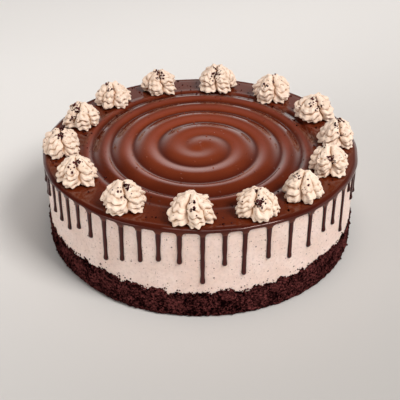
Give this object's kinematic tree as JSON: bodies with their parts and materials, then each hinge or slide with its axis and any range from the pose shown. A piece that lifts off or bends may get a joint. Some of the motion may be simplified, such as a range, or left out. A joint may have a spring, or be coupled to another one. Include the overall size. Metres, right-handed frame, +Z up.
{
  "type": "drip cake",
  "caption": "Whole round drip cake: dark crumb crust, speckled cream filling, spiral chocolate glaze that drips down the side, and piped cream rosettes round the rim.",
  "frame": {"origin": "centre of the cake's flat underside", "axes": "+Z up, -Y towards the front of the cake, where the long drip hangs, +X to its right"},
  "size_m": [0.2352, 0.2356, 0.0937],
  "materials": {
    "crust": "matte, dark biscuit crumbs pressed together",
    "filling": "soft satin, pale cream with fine dark specks",
    "ganache": "glossy, set chocolate glaze",
    "cream": "soft satin, piped cream with fine dark specks"
  },
  "bodies": {
    "root": {"crust": "crust", "filling": "filling", "ganache": "ganache", "rosette_01": "cream", "rosette_02": "cream", "rosette_03": "cream", "rosette_04": "cream", "rosette_05": "cream", "rosette_06": "cream", "rosette_07": "cream", "rosette_08": "cream", "rosette_09": "cream", "rosette_10": "cream", "rosette_11": "cream", "rosette_12": "cream", "rosette_13": "cream", "rosette_14": "cream"}
  },
  "joints": []
}
